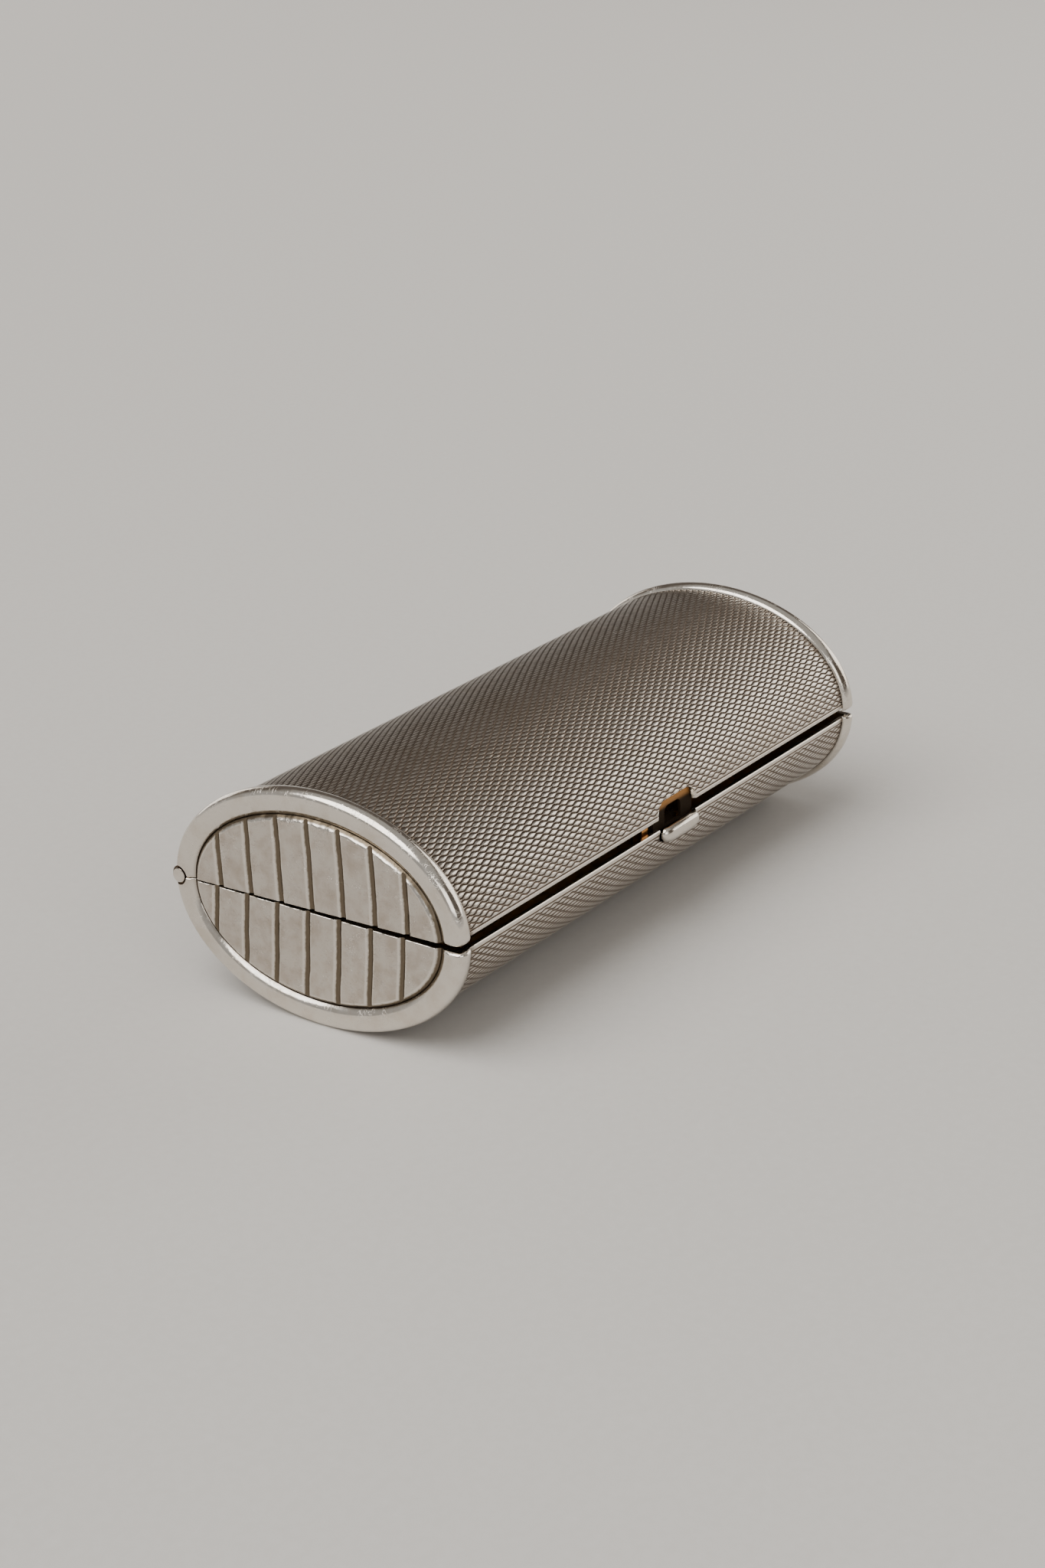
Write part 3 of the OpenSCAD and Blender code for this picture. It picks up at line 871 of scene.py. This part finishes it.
def mirror_finish():
    """Old silvered glass, a little smudged and spotted."""
    s = Shader("mirror", Metallic=1.0)
    where = s.place()
    smudge = s.noise(where, scale=0.12, detail=6.0, rough=0.65)
    color = s.mix(s.ramp(smudge, 0.5, 0.8), GLASS, DULL_GLASS)
    foxing = s.ramp(s.noise(where, scale=1.2, detail=3.0), 0.72, 0.8)
    color = s.mix(s.times(foxing, 0.5), color, STAIN)
    return s.finish(color, s.ramp(smudge, 0.45, 0.8, 0.015, 0.09))


def felt_finish():
    """The felt behind the mirror."""
    s = Shader("backing", Metallic=0.0, Sheen_Weight=0.4)
    where = s.place()
    fibre = s.noise(s.stretched(where, (1.0, 4.0, 4.0)), scale=4.0, detail=6.0, rough=0.7)
    color = s.mix(fibre, DARK_FELT, FELT)
    roughness = s.ramp(fibre, 0.3, 0.7, 0.85, 1.0)
    return s.finish(color, roughness, s.bump(fibre, strength=0.8, distance=0.1))


# ---------------------------------------------------------------- set

FLOOR_SIZE = 15.0
FLOOR, PALE_FLOOR = (0.54, 0.52, 0.495, 1), (0.60, 0.58, 0.555, 1)
BACKDROP = (0.60, 0.58, 0.555, 1)
DIM_ROOM = (0.13, 0.112, 0.098, 1)
CEILING = (0.45, 0.44, 0.42, 1)
PALE_WALL = (0.42, 0.41, 0.395, 1)
CAMERA_AT = (-0.26536, -0.18100, 0.14263)
CAMERA_FORWARD = (0.76422, 0.52729, -0.37138)
CAMERA_UP = (0.31332, 0.19978, 0.92840)
CAMERA_LENS, CAMERA_SENSOR = 65.97, 36.0

# How the world's colour changes by the direction's x and z
ROOM_X, HORIZON_Z, CEILING_Z = (-0.4, 0.1), (0.05, 0.17), (0.6, 0.8)

# Name, place and direction, size in metres, watts and colour
LIGHTS = (
    ("window", (0.9, -0.38, 0.36), (-1, 0.4, -0.35), (0.8, 0.6), 3.4, (1.0, 0.96, 0.90)),
    ("key", (-0.5, -0.8, 0.46), (0.5, 0.8, -0.46), (0.7, 0.5), 2.4, (1.0, 0.99, 0.97)),
    ("back", (0.5, 1.4, 0.3), (-0.3, -1, -0.15), (0.9, 0.5), 2.5, (1.0, 0.95, 0.88)),
)
PANEL_TOWARD, PANEL_WIDTH = (-0.52, 0.2, 0.82), 56
PANEL_STRENGTH, PANEL_COLOR = 3.2, (1.0, 0.98, 0.95)


def add_camera():
    """The camera at the photo's angle."""
    data = bpy.data.cameras.new("camera")
    data.lens = CAMERA_LENS
    data.sensor_width = CAMERA_SENSOR
    data.clip_start, data.clip_end = 0.01, 20
    camera = linked("camera", data)
    back = -Vector(CAMERA_FORWARD).normalized()
    right = Vector(CAMERA_UP).cross(back).normalized()
    turn = Matrix((right, back.cross(right), back)).transposed().to_4x4()
    camera.matrix_world = Matrix.Translation(CAMERA_AT) @ turn
    bpy.context.scene.camera = camera


def floor_finish():
    s = Shader("floor", Metallic=0.0, Specular_IOR_Level=0.2)
    where = s.node("ShaderNodeTexCoord").outputs["Object"]
    weave = s.noise(where, scale=900.0, detail=3.0)
    return s.finish(s.mix(weave, FLOOR, PALE_FLOOR), s.ramp(weave, 0.3, 0.7, 0.75, 0.9))


def add_floor():
    a = FLOOR_SIZE
    corners = [(-a, -a, 0), (a, -a, 0), (a, a, 0), (-a, a, 0)]
    floor = mesh_object("floor", corners, [(0, 1, 2, 3)], (floor_finish(),))


def add_light(name, at, facing, size, power, color):
    """A soft rectangular light in metres, facing a direction."""
    data = bpy.data.lights.new(name, "AREA")
    data.shape = "RECTANGLE"
    data.size, data.size_y = size
    data.energy = power
    data.color = color
    light = linked(name, data)
    light.location = at
    light.rotation_euler = (-Vector(facing)).to_track_quat("Z", "Y").to_euler()


def add_sky_panel():
    """A wide, distant soft light, as from a big panel, which lights the whole floor evenly."""
    data = bpy.data.lights.new("sky_panel", "SUN")
    data.angle = math.radians(PANEL_WIDTH)
    data.energy = PANEL_STRENGTH
    data.color = PANEL_COLOR
    light = linked("sky_panel", data)
    light.rotation_euler = Vector(PANEL_TOWARD).to_track_quat("Z", "Y").to_euler()


class Sky(Shader):
    """The same short calls for the nodes of a world."""

    def __init__(self, name):
        self.world = bpy.data.worlds.new(name)
        self.world.use_nodes = True
        self.tree = self.world.node_tree


def add_world():
    """A pale backdrop round the horizon, a dim room beyond the case, pale behind and overhead."""
    s = Sky("world")
    toward = s.node("ShaderNodeTexCoord").outputs["Generated"]
    x, _, z = s.node("ShaderNodeSeparateXYZ", Vector=toward).outputs
    room = s.mix(s.ramp(x, *ROOM_X), PALE_WALL, DIM_ROOM)
    room = s.mix(s.ramp(z, *HORIZON_Z), BACKDROP, room)
    room = s.mix(s.ramp(z, *CEILING_Z), room, CEILING)
    s.feed(s.tree.nodes["Background"].inputs["Color"], room)
    bpy.context.scene.world = s.world


def add_set():
    add_floor()
    add_world()
    for light in LIGHTS:
        add_light(*light)
    add_sky_panel()


# ---------------------------------------------------------------- assembly

# The finish of each carried-over CAD node, and how much its edges are rounded
CAD_FINISH = (
    ("lipstick_clip_near", "gilt", 0.1), ("lipstick_clip_far", "gilt", 0.1),
    # The catch parts' finishes are gilt with a painted shade that darkens them towards the bottom.
    ("clip_rivets", "gilt", 0.08), ("catch_spring", "shade_painted", 0.06),
    ("catch_anchor", "lower_shade", 0.12), ("catch_rivets", "shade_painted", 0.06),
    ("push_flange", "shade_painted", 0.06), ("catch_keeper", "shade_painted", 0.05),
    ("mirror_frame", "gilt", 0.12), ("mirror_glass", "mirror", 0.1),
    ("mirror_backing", "felt", 0.1),
)
# Heights between which a painted shade darkens the keeper, spring, rivets and flange towards the
# bottom
KEEPER_SHADE_HEIGHTS = (SEAM_Z + 1.45, SEAM_Z + 2.35)
# Heights between which a painted shade darkens the anchor towards the bottom, below the seam
ANCHOR_SHADE_HEIGHTS = (SEAM_Z - 1.6, SEAM_Z - 0.4)


def finish_cad_nodes(gilt):
    """Carried-over CAD nodes get their finish, and their edges a small rounding."""
    finishes = {
        "gilt": gilt,
        "shade_painted": gilt_finish("gilt_with_painted_shade", KEEPER_SHADE_HEIGHTS),
        "lower_shade": gilt_finish("gilt_shade_towards_bottom", ANCHOR_SHADE_HEIGHTS),
        "mirror": mirror_finish(),
        "felt": felt_finish(),
    }
    for name, finish, edge in CAD_FINISH:
        node = frame["nodes"][name]
        for slot in node.material_slots:
            slot.link = "OBJECT"
            slot.material = finishes[finish]
        softened(node, edge)


def build():
    turned, polished, ribbed = turned_silver(), polished_silver(), ribbed_silver()
    gilt = gilt_finish("gilt")
    for half in (BASE, LID):
        shell(half, turned, gilt)
        for end in (NEAR, FAR):
            rim(half, end, polished)
            panel(half, end, ribbed, gilt)
    for k in range(KNUCKLES):
        knuckle(k, polished)
    hinge_pin(polished)
    push_piece(polished)
    finish_cad_nodes(gilt)


build()
add_set()
add_camera()
